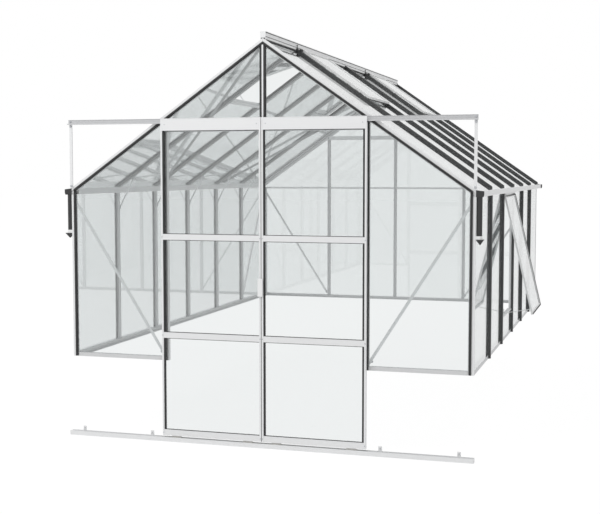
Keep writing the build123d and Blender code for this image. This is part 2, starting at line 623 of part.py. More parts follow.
def braces():
    half, high = BRACE_WIDTH / 2, SEAT_BACK
    flat = [(-half, high - BRACE_THICK), (half, high - BRACE_THICK), (half, high), (-half, high)]
    under = -BAR_DEPTH
    angle = [(-half, under), (half, under), (half, under - BRACE_THICK),
             (BRACE_THICK - half, under - BRACE_THICK), (BRACE_THICK - half, under - BRACE_WIDTH),
             (-half, under - BRACE_WIDTH)]
    edge, top, foot = BAR_WIDTH / 2, RAIL_UNDERSIDE - BRACE_DROP, BRACE_FOOT
    for side in SIDES:
        add("wall_braces", flat_bar((side * (HALF - edge), 0, top), (side * (JAMB_OUTER + edge), 0, foot),
                                    (0, -1, 0), flat))
        add("wall_braces", flat_bar((side * (HALF - edge), LENGTH, top), (side * (BAY + edge), LENGTH, foot),
                                    (0, 1, 0), flat))
        last = LENGTH - BAY
        add("wall_braces", flat_bar((side * HALF, last + edge, foot), (side * HALF, LENGTH - edge, top),
                                    (side, 0, 0), flat))
        outward = slope_axes(side)[0]
        for foot_y, head_y in ((2 * BAY, 40), (LENGTH - 2 * BAY, LENGTH - 40)):
            low = on_slope(side, foot_y, 50, 0)
            head = on_slope(side, head_y, SLOPE_LENGTH - 60, 0)
            add("roof_braces", flat_bar(low, head, outward, angle))
        lap = BAR_DEPTH - 8
        low, tall = RAIL_UNDERSIDE - KNEE_DROP, 20
        plate = [(HALF - lap, low), (HALF - lap, low + tall),
                 (HALF - KNEE_REACH, roof_height(-KNEE_REACH, -lap)),
                 (HALF - KNEE_REACH - tall, roof_height(-KNEE_REACH - tall, -lap))]
        for bay in range(1, SIDE_BAYS):
            y = bay * BAY + CHANNEL_WIDTH / 2
            add("knee_braces", lengthwise([(side * x, z) for x, z in plate], y, y + BRACE_THICK))


# ---------------------------------------------------------------- roof vents and side window
def glazed_leaf(slab, width, height, rail, low, high, rim):
    """Frame and pane of a small window: `slab` makes a plate from two spans and two depths."""
    seat, pane_low = rail, low + 6
    outer = slab(width, height, (low, high))
    hole = slab((width[0] + seat, width[1] - seat), (height[0] + seat, height[1] - seat),
                (low - 1, high + 1))
    rebate = slab((width[0] + rim, width[1] - rim), (height[0] + rim, height[1] - rim),
                  (pane_low, high + 1))
    gap = rim + 1
    pane = slab((width[0] + gap, width[1] - gap), (height[0] + gap, height[1] - gap),
                (pane_low, pane_low + GLASS))
    return outer - hole - rebate, pane


def stay(start, end, cut, holes):
    """Flat stay across a bay's middle, cut off at the pieces it meets, with peg holes or none."""
    half = STAY_WIDTH / 2
    run = end - start
    normal = Vector(0, 1, 0).cross(run).normalized()
    bar = flat_bar(start, end, normal, [(-half, 0), (half, 0), (half, STAY_THICK), (-half, STAY_THICK)])
    place = Plane(origin=tuple(start), x_dir=tuple(run), z_dir=tuple(normal))
    for index in range(1, int(run.length / STAY_STEP) if holes else 0):
        bar -= place * Pos(index * STAY_STEP, 0, 0) * Cylinder(STAY_HOLE, 3 * STAY_THICK)
    for piece in cut:
        bar -= piece
    return max(bar.solids(), key=lambda solid: solid.volume)


def roof_vents():
    for side in SIDES:
        for bay in VENT_BAYS:
            low, high = bay * BAY, (bay + 1) * BAY
            width = (low + VENT_SIDE, high - VENT_SIDE)
            angle = VENT_ANGLES.get((side, bay), 0.0)
            line = on_slope(side, width[0], VENT_HINGE_UP, VENT_LOW)
            hinge = Axis(tuple(line), (0, 1, 0))
            barrel = extrude(Plane(origin=tuple(line), z_dir=(0, 1, 0)) * Circle(HINGE_RADIUS),
                             amount=width[1] - width[0])

            def plate(along, up, depth, side=side):
                return roof_slab(side, along, up, depth)

            frame, pane = glazed_leaf(plate, width, (VENT_FOOT_UP, VENT_HINGE_UP), VENT_RAIL,
                                      VENT_LOW, VENT_HIGH, VENT_RAIL - 6)
            frame, pane = [piece.rotate(hinge, -side * angle) for piece in (frame - barrel, pane)]
            add("roof_vent_frames", frame)
            add("roof_vent_glass", pane)
            far, low_face = SLOPE_LENGTH + FACE, VENT_LOW - HINGE_RADIUS
            strip = [(VENT_HINGE_UP, low_face), (far, low_face), (far, low_face + 3),
                     (VENT_HINGE_UP, low_face + 3)]
            strip = roof_trim(side, 0, RIDGE_HALF, roof_profile(side, strip, *width))
            add("roof_vent_hinges", strip + barrel)
            half, back = VENT_SILL / 2, -BAR_DEPTH
            profile = [(-half, back), (half, back), (half, GLASS_FACE + STRIP_RISE),
                       (half - 2, GLASS_FACE + STRIP_RISE), (half - 2, SEAT), (-half, SEAT)]
            hollow = [(2 - half, back + 2), (half - 2, back + 2), (half - 2, SEAT - 2),
                      (2 - half, SEAT - 2)]
            solid, room = [roof_profile(side, [(VENT_SILL_UP + s, n) for s, n in ring],
                                        low + BAR_WIDTH / 2, high - BAR_WIDTH / 2)
                           for ring in (profile, hollow)]
            sill_bar = solid - room
            add("roof_vent_sills", sill_bar)
            if angle:
                middle = (low + high) / 2
                foot = on_slope(side, middle, VENT_FOOT_UP + VENT_RAIL / 2, VENT_LOW + 3)
                arm = foot - on_slope(side, middle, VENT_HINGE_UP, VENT_LOW)
                foot += arm.rotate(Axis.Y, -side * angle) - arm
                add("window_stays", stay(on_slope(side, middle, VENT_SILL_UP, SEAT - 1), foot,
                                         (frame, sill_bar), False))


def side_window():
    low, high = WINDOW_BAY * BAY, (WINDOW_BAY + 1) * BAY
    back, front = HALF + WINDOW_BACK, HALF + WINDOW_BACK + WINDOW_DEPTH
    width = (low + VENT_SIDE, high - VENT_SIDE)
    height = (WINDOW_SILL + WINDOW_RAIL, RAIL_UNDERSIDE - WINDOW_RAIL)
    hinge = Axis((back, 0, height[1]), (0, 1, 0))

    def plate(along, up, depth):
        return block((depth[0], along[0], up[0]), (depth[1], along[1], up[1]))

    frame, pane = glazed_leaf(plate, width, height, WINDOW_RAIL, back, front, WINDOW_RAIL - 6)
    seal = 8.0
    rim = plate(width, height, (front, front + 3)) - plate(
        (width[0] - 1, width[1] - seal), (height[0] + seal, height[1] - seal), (front - 1, front + 4))
    frame, pane, rim = [piece.rotate(hinge, -WINDOW_ANGLE) for piece in (frame, pane, rim)]
    add("side_window_frame", frame)
    add("side_window_glass", pane)
    add("side_window_seals", rim)
    sill_top = WINDOW_SILL + 14
    edge = BAR_WIDTH / 2
    profile = [(-10, WINDOW_SILL + 1), (GLASS_FACE, WINDOW_SILL + 1), (GLASS_FACE + 4, WINDOW_SILL + 5),
               (GLASS_FACE + 4, WINDOW_SILL + 8), (SEAT, sill_top), (-10, sill_top)]
    sill_bar = lengthwise([(HALF + o, z) for o, z in profile], low + edge, high - edge)
    add("side_window_sill", sill_bar)
    head = block((HALF, low + edge, height[1] + 2), (front, high - edge, RAIL_UNDERSIDE))
    clear = block((back - 2, low, height[1] - 1), (front + 1, high, height[1] + 9))
    add("side_window_sill", head - clear)
    middle = (low + high) / 2
    arm = Vector(WINDOW_DEPTH / 2, 0, height[0] - height[1] + WINDOW_RAIL / 2)
    foot = Vector(back, middle, height[1]) + arm.rotate(Axis.Y, -WINDOW_ANGLE)
    add("window_stays", stay(Vector(HALF + SEAT - 6, middle, sill_top), foot, (frame, sill_bar),
                             True))


# ---------------------------------------------------------------- doors and their tracks
def tracks():
    low, lip = TRACK_LOW, TRACK_LOW + TRACK_LIP
    back, front, wall = TRACK_BACK, TRACK_BACK + TRACK_WIDTH, TRACK_WALL
    ledge = back + wall + TRACK_LIP / 2
    ring = [(back, low), (front, low), (front, lip), (front - wall, lip), (front - wall, low + wall),
            (back + wall, low + wall), (back + wall, DOOR_HEAD - 2), (ledge, DOOR_HEAD - 2),
            (ledge, DOOR_HEAD), (back, DOOR_HEAD)]
    add("door_top_track", across([(-n, z) for n, z in ring], -TRACK_HALF, TRACK_HALF))
    foot, top = -DOOR_DROP, FOOT_TRACK_HEIGHT - DOOR_DROP
    back, front = LEAF_MIDDLE - FOOT_TRACK_WIDTH / 2, LEAF_MIDDLE + FOOT_TRACK_WIDTH / 2
    ring = [(back, foot), (front, foot), (front, top), (front - wall, top), (front - wall, foot + wall),
            (back + wall, foot + wall), (back + wall, top), (back, top)]
    track = across([(-n, z) for n, z in ring], -TRACK_HALF, TRACK_HALF)
    tab_half, tab_rise = 11.0, 28.0
    for side in SIDES:
        for x in TAB_PLACES:
            track += block((side * x - tab_half, -back, foot + wall),
                           (side * x + tab_half, wall - back - 1, top + tab_rise))
        add("track_struts", block((side * (HALF + FACE_WALL), -TRACK_BACK, EAVES_HEIGHT + 5),
                                  (side * (HALF + FACE_WALL + STRUT_WIDTH - 3), -FACE, DOOR_HEAD)))
    add("door_bottom_track", track)


def stile(side, outer):
    """Door stile: two chambers, a slot for the glass, and a thin head in front of the track."""
    edge = LEAF_GAP + LEAF_WIDTH if outer else LEAF_GAP
    way = -1 if outer else 1
    wall, slot = STILE_WALL, SLOT / 2
    outline = [(0, LEAF_BACK), (0, LEAF_FRONT), (STILE, LEAF_FRONT), (STILE, LEAF_MIDDLE + slot),
               (STILE - SLOT_DEPTH, LEAF_MIDDLE + slot), (STILE - SLOT_DEPTH, LEAF_MIDDLE - slot),
               (STILE, LEAF_MIDDLE - slot), (STILE, LEAF_BACK)]
    piece = upright([(side * (edge + way * x), -n) for x, n in outline], LEAF_LOW, DOOR_HEAD)
    for near, far in ((LEAF_BACK + wall, LEAF_MIDDLE - slot - wall),
                      (LEAF_MIDDLE + slot + wall, LEAF_FRONT - wall)):
        piece -= block((side * (edge + way * wall), -near, LEAF_LOW - 1),
                       (side * (edge + way * (STILE - wall)), -far, LEAF_HIGH - wall))
    return piece - block((side * (edge - STILE - 1), 0, LEAF_HIGH),
                         (side * (edge + STILE + 1), STILE_HEAD - LEAF_FRONT, DOOR_HEAD + 1))


def rail(side, low, high, slot_below, slot_above):
    """Hollow door rail between the stiles, slotted for the panes under and over it."""
    back, front = LEAF_BACK + RAIL_INSET, LEAF_FRONT - RAIL_INSET
    start, end = side * (LEAF_GAP + STILE), side * (LEAF_GAP + LEAF_WIDTH - STILE)
    half, wall, deep = SLOT / 2, STILE_WALL, SLOT_DEPTH
    piece = across([(-back, low), (-front, low), (-front, high), (-back, high)], start, end)
    room_low, room_high = low + wall, high - wall
    if slot_below:
        piece -= block((start, -LEAF_MIDDLE - half, low - 1), (end, half - LEAF_MIDDLE, low + deep))
        room_low = low + deep + wall
    if slot_above:
        piece -= block((start, -LEAF_MIDDLE - half, high - deep), (end, half - LEAF_MIDDLE, high + 1))
        room_high = high - deep - wall
    return piece - block((start, -back - wall, room_low), (end, wall - front, room_high))


def roller(x):
    """Dished roller that runs on the floor of the top track, on a pin from the hood."""
    face = TRACK_BACK + TRACK_WIDTH / 2
    height = TRACK_LOW + TRACK_WALL + TOUCH + ROLLER_RADIUS
    rim, hub, dish = ROLLER_RADIUS - 2.5, PIN_RADIUS + 1.5, 2.5
    wheel = Cylinder(ROLLER_RADIUS, ROLLER_WIDTH)
    wheel -= Pos(0, 0, (dish - ROLLER_WIDTH) / 2) * (Cylinder(rim, dish) - Cylinder(hub, dish))
    reach = LEAF_FRONT - RAIL_INSET - HOOD_THICK - face
    pin = Pos(0, 0, reach / 2) * Cylinder(PIN_RADIUS, reach)
    return Pos(x, -face, height) * Rot(90, 0, 0) * (wheel + pin)


def door_leaf(side):
    name = side_name(side)
    add(f"door_frame_{name}", stile(side, False), stile(side, True))
    rails = [(LEAF_LOW, LEAF_LOW + BOTTOM_RAIL)]
    rails += [(low, low + MIDDLE_RAIL) for low in MIDDLE_RAILS_AT]
    rails += [(LEAF_HIGH - TOP_RAIL, LEAF_HIGH)]
    last = len(rails) - 1
    near, far = LEAF_GAP + STILE, LEAF_GAP + LEAF_WIDTH - STILE
    front = LEAF_FRONT - RAIL_INSET
    for index, (low, high) in enumerate(rails):
        piece = rail(side, low, high, index > 0, index < last)
        if index == last:
            face, bead = front + HOOD_BEAD, 3 * HOOD_BEAD
            hood = [(HOOD_THICK - front, low), (-front, low), (-face, low + 1), (-face, low + bead - 1),
                    (-front, low + bead), (-front, DOOR_HEAD - bead), (-face, DOOR_HEAD - bead + 1),
                    (-face, DOOR_HEAD - 1), (-front, DOOR_HEAD), (HOOD_THICK - front, DOOR_HEAD)]
            piece += across(hood, side * near, side * far)
        add(f"door_rails_{name}", piece)
    face = LEAF_MIDDLE + GLASS / 2
    for (_, low), (high, _) in zip(rails, rails[1:]):
        add(f"door_glass_{name}", block((side * (near - PANE_BITE), -face, low - PANE_BITE),
                                        (side * (far + PANE_BITE), GLASS - face, high + PANE_BITE)))
        for edge, way in ((far, -1), (near, 1)):
            if edge == far or side > 0:
                add(f"door_seals_{name}", block((side * edge, -face, low),
                                                (side * (edge + way * SEAL), -face - 6, high)))
    for x in (near - STILE + ROLLER_INSET, far + STILE - ROLLER_INSET):
        add(f"door_runners_{name}", roller(side * x))
        half = GUIDE_LENGTH / 2
        add(f"door_runners_{name}", block((side * x - half, -LEAF_MIDDLE - 4, LEAF_LOW - GUIDE_DEPTH),
                                          (side * x + half, 4 - LEAF_MIDDLE, LEAF_LOW)))


def door_handle():
    """Grip plate on the left leaf's inner stile; it reaches over the gap between the leaves."""
    low, high, stand = 426, 535, 6
    foot = block((-LEAF_GAP - STILE + 1, -LEAF_FRONT, low + 8),
                 (-LEAF_GAP - 1, -LEAF_FRONT - stand, high - 8))
    grip = Box(32, 12, high - low)
    grip = chamfer(grip.edges().group_by(Axis.Y)[0], 3)
    add("door_handle", foot + Pos(-2, -LEAF_FRONT - stand - 6, (low + high) / 2) * grip)


def main():
    sills()
    corner_posts()
    eaves()
    downpipes()
    wall_bars()
    roof_bars()
    rafters()
    ridge()
    roof_seals()
    front_gable()
    gable_strips()
    rear_gable()
    gable_glass()
    side_and_roof_glass()
    braces()
    roof_vents()
    side_window()
    tracks()
    for side in SIDES:
        door_leaf(side)
    door_handle()
    os.makedirs("parts", exist_ok=True)
    for name, solids in nodes.items():
        placed = [Pos(0, -LENGTH, 0) * solid for solid in solids]
        shape = placed[0] if len(placed) == 1 else Compound(children=placed)
        export_step(shape, f"parts/{name}.step")
    print(len(nodes), "nodes", sum(len(solids) for solids in nodes.values()), "solids")


main()
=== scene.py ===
# %% [markdown]
# # A glass greenhouse with sliding doors
#
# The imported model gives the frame: every bar, pane and door leaf is already in its place,
# in metres, with X across the door gable, Y from the door gable to the rear, and Z up.
# This script dresses that frame.  It mixes the finishes, adds the small fixings that a
# fitter would use, and sets a plain studio round the house.

# %% Load the frame
import math

import bmesh
import bpy
from mathutils import Matrix, Vector


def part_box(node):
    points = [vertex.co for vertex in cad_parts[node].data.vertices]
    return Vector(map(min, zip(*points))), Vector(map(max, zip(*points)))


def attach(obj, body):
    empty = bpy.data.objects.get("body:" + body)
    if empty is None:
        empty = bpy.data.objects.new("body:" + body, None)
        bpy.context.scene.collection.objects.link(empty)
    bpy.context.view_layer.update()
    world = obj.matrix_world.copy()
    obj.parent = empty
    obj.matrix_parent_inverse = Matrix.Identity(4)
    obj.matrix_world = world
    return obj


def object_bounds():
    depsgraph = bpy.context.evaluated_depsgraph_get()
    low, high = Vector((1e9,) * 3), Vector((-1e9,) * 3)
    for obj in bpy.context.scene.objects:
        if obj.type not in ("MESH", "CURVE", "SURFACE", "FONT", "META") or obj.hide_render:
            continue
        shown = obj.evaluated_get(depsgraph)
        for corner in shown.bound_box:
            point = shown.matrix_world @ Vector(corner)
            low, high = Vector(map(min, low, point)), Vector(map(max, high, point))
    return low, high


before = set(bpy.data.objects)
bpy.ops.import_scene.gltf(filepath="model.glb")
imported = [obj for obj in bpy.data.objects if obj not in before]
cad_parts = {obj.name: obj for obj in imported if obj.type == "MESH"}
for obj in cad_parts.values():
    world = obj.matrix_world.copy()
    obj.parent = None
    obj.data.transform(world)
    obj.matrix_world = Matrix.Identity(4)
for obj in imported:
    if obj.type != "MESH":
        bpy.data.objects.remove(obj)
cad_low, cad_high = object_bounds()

print(len(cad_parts), "nodes from", tuple(cad_low), "to", tuple(cad_high))

# %% [markdown]
# The main lines of the house are measured on the frame itself, and most fixings are placed
# from them.  The glazing bars stand one bay apart, and the roof rises from the eaves rail to
# the ridge.

# %% Measure the house
BAYS_ALONG = 6
POST_FACE = 0.015  # outer face of a post, outward of the bar plane
RAIL_DEPTH = 0.034  # roof plane over the wall, down to the foot of the eaves rail and the post's top
RIDGE_DEPTH = 0.034  # apex of the roof planes, down to the underside of the ridge
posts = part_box("corner_posts")
ridge_low, ridge_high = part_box("ridge")
FRONT = posts[0].y + POST_FACE
REAR = posts[1].y - POST_FACE
HALF = posts[1].x - POST_FACE
BAY = (REAR - FRONT) / BAYS_ALONG
EAVES = posts[1].z + RAIL_DEPTH
APEX = ridge_low.z + RIDGE_DEPTH
SLOPE = math.atan2(APEX - EAVES, HALF)
print("bay", round(BAY, 4), "half width", round(HALF, 4), "slope", round(math.degrees(SLOPE), 2))

# %% [markdown]
# Finishes are node trees.  Writing them node by node hides the idea, so one small class
# wraps a socket.  Plain arithmetic on it adds Math nodes, and `add` makes any other node
# from its type, its settings and its sockets.


# %% A socket that can be added and multiplied
class Wire:
    """One socket of a finish's node tree."""

    def __init__(self, tree, socket=None):
        self.tree = tree
        self.socket = socket

    def add(self, kind, settings=None, sockets=None, output=0):
        node = self.tree.nodes.new(kind)
        for name, value in (settings or {}).items():
            setattr(node, name, value)
        for key, value in (sockets or {}).items():
            if isinstance(value, Wire):
                self.tree.links.new(value.socket, node.inputs[key])
            else:
                node.inputs[key].default_value = value
        return Wire(self.tree, node.outputs[output] if len(node.outputs) else None)

    def sum_of(self, operation, left, right):
        return self.add("ShaderNodeMath", {"operation": operation}, {0: left, 1: right})

    def __add__(self, other):
        return self.sum_of("ADD", self, other)

    __radd__ = __add__

    def __mul__(self, other):
        return self.sum_of("MULTIPLY", self, other)

    __rmul__ = __mul__

    def __sub__(self, other):
        return self.sum_of("SUBTRACT", self, other)

    def __rsub__(self, other):
        return self.sum_of("SUBTRACT", other, self)

    def __pow__(self, other):
        return self.sum_of("POWER", self, other)

    def __abs__(self):
        return self.add("ShaderNodeMath", {"operation": "ABSOLUTE"}, {0: self})


# %% Helpers that every finish uses
def new_finish(name):
    """A bare material, and a wire to start its nodes from."""
    made = bpy.data.materials.new(name)
    made.use_nodes = True
    made.node_tree.nodes.clear()
    return made, Wire(made.node_tree)


def coordinates(start):
    """The object's own x, y and z as three wires."""
    place = start.add("ShaderNodeTexCoord", output="Object")
    split = place.add("ShaderNodeSeparateXYZ", sockets={0: place})
    node = split.socket.node
    return [Wire(start.tree, node.outputs[index]) for index in range(3)]


def joined(x, y, z):
    return x.add("ShaderNodeCombineXYZ", sockets={0: x, 1: y, 2: z})


def noise(where, scale, detail=3.0, roughness=0.5):
    return where.add("ShaderNodeTexNoise", sockets={
        "Vector": where, "Scale": scale, "Detail": detail, "Roughness": roughness})


def blend(share, first, second):
    """A colour between two colours, by a share from 0 to 1."""
    return share.add("ShaderNodeMix", {"data_type": "RGBA"},
                     {"Factor": share, 6: first, 7: second}, output=2)


def bump(height, strength, distance):
    return height.add("ShaderNodeBump", sockets={
        "Strength": strength, "Distance": distance, "Height": height})


def surface(start, shader):
    start.add("ShaderNodeOutputMaterial", sockets={"Surface": shader})


# %% [markdown]
# The bars are drawn aluminium.  A die leaves faint lines along the whole length of a bar,
# so the finish is noise that is stretched along the run of the metal: fine across it and
# very slow along it.  Bars run four ways in this house (across, along, upright and up the
# slope), so the same finish is made four times, each with its own coordinates.  The sills,
# the top track and the bars and braces of the roof get darker mixes of it.  On the top track
# the darker colour is painted shade, for the shade in the track's recess, and on the bars and
# braces of the roof it is painted shade and a painted dark reflection of the shaded inside.


# %% Drawn aluminium
SILVER = (0.86, 0.865, 0.87, 1)
SILVER_WORN = (0.76, 0.765, 0.77, 1)
DIE_SCALE, HANDLING_SCALE = 900.0, 9.0
DIE_STRETCH, HANDLING_STRETCH = 0.004, 0.35  # pace of each pattern along a bar, as a share of across
DIE_TONE, HANDLING_TONE = 0.35, 0.45  # how far each pattern takes the metal to its darker colour
METAL_ROUGH, DIE_ROUGH, HANDLING_ROUGH = 0.34, 0.08, 0.16  # the metal, and what each pattern adds
DIE_BUMP, DIE_HEIGHT = 0.12, 0.0003


def drawn_metal(name, run, light=SILVER, dark=SILVER_WORN, metallic=0.25):
    made, start = new_finish(name)
    x, y, z = coordinates(start)
    if run == "across":
        along, side, up = x, y, z
    elif run == "along":
        along, side, up = y, x, z
    elif run == "upright":
        along, side, up = z, x, y
    else:
        reach = abs(x)
        along = z * math.sin(SLOPE) - reach * math.cos(SLOPE)
        side = y
        up = z * math.cos(SLOPE) + reach * math.sin(SLOPE)
    die_lines = noise(joined(side, up, along * DIE_STRETCH), DIE_SCALE, 2.0)
    handling = noise(joined(side, up, along * HANDLING_STRETCH), HANDLING_SCALE, 4.0)
    colour = blend(die_lines * DIE_TONE + handling * HANDLING_TONE, light, dark)
    rough = METAL_ROUGH + handling * HANDLING_ROUGH + die_lines * DIE_ROUGH
    shader = start.add("ShaderNodeBsdfPrincipled", sockets={
        "Base Color": colour, "Metallic": metallic, "Roughness": rough,
        "Normal": bump(die_lines, DIE_BUMP, DIE_HEIGHT)})
    surface(start, shader)
    return made


aluminium = {run: drawn_metal(f"drawn_aluminium_{run}", run)
             for run in ("across", "along", "upright", "slope")}
# the sills are simply a darker mix of the same aluminium
darker_sills = drawn_metal("darker_aluminium_sills", "along",
                         light=(0.70, 0.705, 0.71, 1), dark=(0.58, 0.585, 0.59, 1))
# painted shade: the top track gets a darker colour, for the shade in its recess
track_painted_shade = drawn_metal("painted_shade_aluminium_across", "across",
                          light=(0.66, 0.665, 0.675, 1), dark=(0.54, 0.545, 0.555, 1))
# painted shade: the roof's bars and braces get a darker colour, for shade and a dark reflection inside the
# roof
roof_bars_painted_shade = drawn_metal("painted_shade_aluminium_slope", "slope",
                         light=(0.56, 0.565, 0.57, 1), dark=(0.44, 0.445, 0.45, 1))
print("four runs of drawn aluminium, and three duller mixes")

# %% [markdown]
# The vents, the side window, the handle and the pipe clips show white, and are taken as
# powder coated.  Powder melts into a smooth skin with a very fine orange peel, so it gets a
# small round bump and no lines.


# %% Powder coat, black rubber, black plastic and nylon
PATCH_SCALE, PATCH_SHARE, PATCH_ROUGH = 14.0, 0.7, 0.12  # slow patches: size, tone and roughness
GRAIN_HEIGHT = 0.0004


def plain_skin(name, light, dark, rough, peel_scale, peel, metallic=0.0):
    """A moulded or coated skin: small colour change, and a bump of one size."""
    made, start = new_finish(name)
    x, y, z = coordinates(start)
    where = joined(x, y, z)
    patches = noise(where, PATCH_SCALE, 4.0)
    grain = noise(where, peel_scale, 2.0)
    shader = start.add("ShaderNodeBsdfPrincipled", sockets={
        "Base Color": blend(patches * PATCH_SHARE + grain * (1 - PATCH_SHARE), light, dark),
        "Metallic": metallic, "Roughness": rough + patches * PATCH_ROUGH,
        "Normal": bump(grain, peel, GRAIN_HEIGHT)})
    surface(start, shader)
    return made


powder_coat = plain_skin("white_powder_coat", (0.92, 0.925, 0.925, 1), (0.87, 0.875, 0.875, 1),
                         rough=0.36, peel_scale=700.0, peel=0.15)
black_capping = plain_skin("black_capping", (0.036, 0.037, 0.038, 1), (0.062, 0.063, 0.064, 1),
                           rough=0.38, peel_scale=900.0, peel=0.25)
# black rubber of the seals, also used for thin black strips of painted shade along the ridge
black_rubber = plain_skin("black_rubber", (0.014, 0.014, 0.015, 1), (0.028, 0.028, 0.029, 1),
                          rough=0.55, peel_scale=900.0, peel=0.25)
black_plastic = plain_skin("black_plastic", (0.016, 0.016, 0.017, 1), (0.032, 0.032, 0.033, 1),
                           rough=0.40, peel_scale=500.0, peel=0.2)
white_nylon = plain_skin("white_nylon", (0.78, 0.77, 0.74, 1), (0.70, 0.69, 0.66, 1),
                         rough=0.45, peel_scale=600.0, peel=0.15)

# %% [markdown]
# Horticultural glass is clear, 3 mm thick, and a little green.  Two things change with the
# slant of the view.  A pane mirrors more the flatter it is looked along, and what comes
# through it has a longer way in the glass, so it is darker.  So two clear shaders, a light
# and a deep one, are mixed by the slant, and the mirror is mixed in by another power of it.
# A ray crosses two faces of a pane, so each face takes half the tint.  The deep tint is
# stronger than real clear glass has, so it is partly the longer way in the glass and partly
# painted shade: it stands in for the dimming that a garden round the house would give the
# panes, which a white studio can't.


# %% Glass
DEEP_POWER = 3.0  # how late the deep tint comes in as the view slants
MIRROR_POWER = 3.2
MIRROR_MOST = 0.97  # share of mirror in a pane that is looked along
WASH_SCALE, WASH_STRETCH = 1.2, 0.2  # broad upright patches, that mirror a very little more
WASH_MIRROR = 0.01


def pane_glass(name, light, deep_and_shade, mirror, least):
    made, start = new_finish(name)
    x, y, z = coordinates(start)
    wash = noise(joined(x, y, z * WASH_STRETCH), WASH_SCALE, 3.0)
    slant = start.add("ShaderNodeLayerWeight", sockets={"Blend": 0.5}, output="Facing")
    square_on = start.add("ShaderNodeBsdfTransparent", sockets={"Color": light})
    # partly painted shade: the deep tint is darker than real glass, for the dimming of a garden round the
    # house
    aslant_and_shade = start.add("ShaderNodeBsdfTransparent", sockets={"Color": deep_and_shade})
    through = start.add("ShaderNodeMixShader", sockets={
        0: slant ** DEEP_POWER, 1: square_on, 2: aslant_and_shade})
    gloss = start.add("ShaderNodeBsdfAnisotropic", sockets={"Color": mirror, "Roughness": 0.0})
    share = least + slant ** MIRROR_POWER * (MIRROR_MOST - least) + wash * WASH_MIRROR
    surface(start, start.add("ShaderNodeMixShader", sockets={0: share, 1: through, 2: gloss}))
    return made


# painted shade: part of the deep tint stands in for a garden that would dim the panes
clear_glass = pane_glass("clear_glass", light=(0.922, 0.932, 0.932, 1), deep_and_shade=(0.60, 0.615, 0.62, 1),
                         mirror=(0.975, 0.98, 0.98, 1), least=0.06)

# %% [markdown]
# Each node of the frame now gets the finish of its real part, by the way its metal runs.

# %% Give each part its finish
RUNS = {
    "across": ("door_header", "door_bottom_track", "rear_gable_tie",
               "door_rails_left", "door_rails_right", "rear_glass_joints"),
    "along": ("ridge", "eaves_rails", "roof_vent_sills", "side_window_sill", "roof_vent_hinges"),
    "slope": ("rafters",),
}
FINISHES = (
    (darker_sills, ("base_sills",)),
    # painted shade: the top track is darker, for the shade in its recess
    (track_painted_shade, ("door_top_track",)),
    # painted shade: the roof's bars and braces are darker, for shade and a dark reflection inside the roof
    (roof_bars_painted_shade, ("roof_bars", "roof_braces")),
    (black_capping, ("side_caps", "roof_caps", "rear_gable_caps")),
    (black_rubber, ("gable_strips", "roof_seals", "door_seals_left", "door_seals_right", "door_jamb_seals",
                    "side_window_seals")),
    (black_plastic, ("gutter_end_caps", "downpipes")),
    (powder_coat, ("roof_vent_frames", "side_window_frame", "door_handle", "downpipe_clips")),
    (white_nylon, ("door_runners_left", "door_runners_right")),
)


def finish_for(node):
    if "glass" in node and "joints" not in node:
        return clear_glass
    for finish, nodes in FINISHES:
        if node in nodes:
            return finish
    for run, nodes in RUNS.items():
        if node in nodes:
            return aluminium[run]
    return aluminium["upright"]


for name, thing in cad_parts.items():
    thing.data.materials.clear()
    thing.data.materials.append(finish_for(name))
print("finished", len(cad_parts), "parts")

# %% [markdown]
# A house like this is put together with many small fixings.  Each kind is shaped once, from
# discs or a cube by bevels and an inset, and then copied to its places, turned to the face
# that it sits on.  The copies that do one job make one piece, which rides on the
# frame or on a door leaf.  The photo shows few of them, so most are put where such a house
# usually has them.


# %% Make a piece, and repeat a small shape
def finished_mesh(name, shape):
    """The shape as a mesh, its doubles merged and its faces turned outwards."""
    bmesh.ops.remove_doubles(shape, verts=shape.verts, dist=1e-6)
    bmesh.ops.recalc_face_normals(shape, faces=shape.faces)
    mesh = bpy.data.meshes.new(name)
    shape.to_mesh(mesh)
    shape.free()
    return mesh


def piece(mesh, body, finish):
    mesh.materials.append(finish)
    made = bpy.data.objects.new(mesh.name, mesh)
    bpy.context.scene.collection.objects.link(made)
    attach(made, body)
    return made


def repeated(name, pattern, places, body, finish):
    """Copies of a pattern, each with its own place and the way that its top points."""
    whole = bmesh.new()
    for place, axis in places:
        first = len(whole.verts)
        whole.from_mesh(pattern)
        whole.verts.ensure_lookup_table()
        turn = Vector(axis).to_track_quat("Z", "Y").to_matrix().to_4x4()
        bmesh.ops.transform(whole, matrix=Matrix.Translation(place) @ turn, verts=whole.verts[first:])
    mesh = bpy.data.meshes.new(name)
    whole.to_mesh(mesh)
    whole.free()
    print(name, len(places), "places,", len(mesh.polygons), "faces")
    return piece(mesh, body, finish)


def soften(shape, edges, width, segments=2):
    bmesh.ops.bevel(shape, geom=edges, offset=width, offset_type="OFFSET", segments=segments,
                    profile=0.5, affect="EDGES", material=-1)


def face_edges(shape, height):
    """Edges that lie flat at a height."""
    return [edge for edge in shape.edges if all(abs(v.co.z - height) < 1e-6 for v in edge.verts)]


# %% [markdown]
# Frame bolts are short hexagon heads on a washer.  The washer is a flat disc and the head a
# six-sided prism, and the top corners of the head are turned off at a slant as on real bolts.
# A nut is the same with the end of the thread standing out of it.


# %% Hexagon bolts and nuts
WASHER = 0.0012  # thickness of the washer under a head
WASHER_REACH, THREAD_REACH, THREAD_TIP = 0.85, 0.30, 0.26  # radii, by the width across the flats
CORNER_CUT = 0.0008


def disc(shape, radius, low, high, segments, top=None):
    made = bmesh.ops.create_cone(shape, cap_ends=True, segments=segments, radius1=radius,
                                 radius2=radius if top is None else top, depth=high - low)
    bmesh.ops.translate(shape, verts=made["verts"], vec=(0, 0, (low + high) / 2))
    return made["verts"]


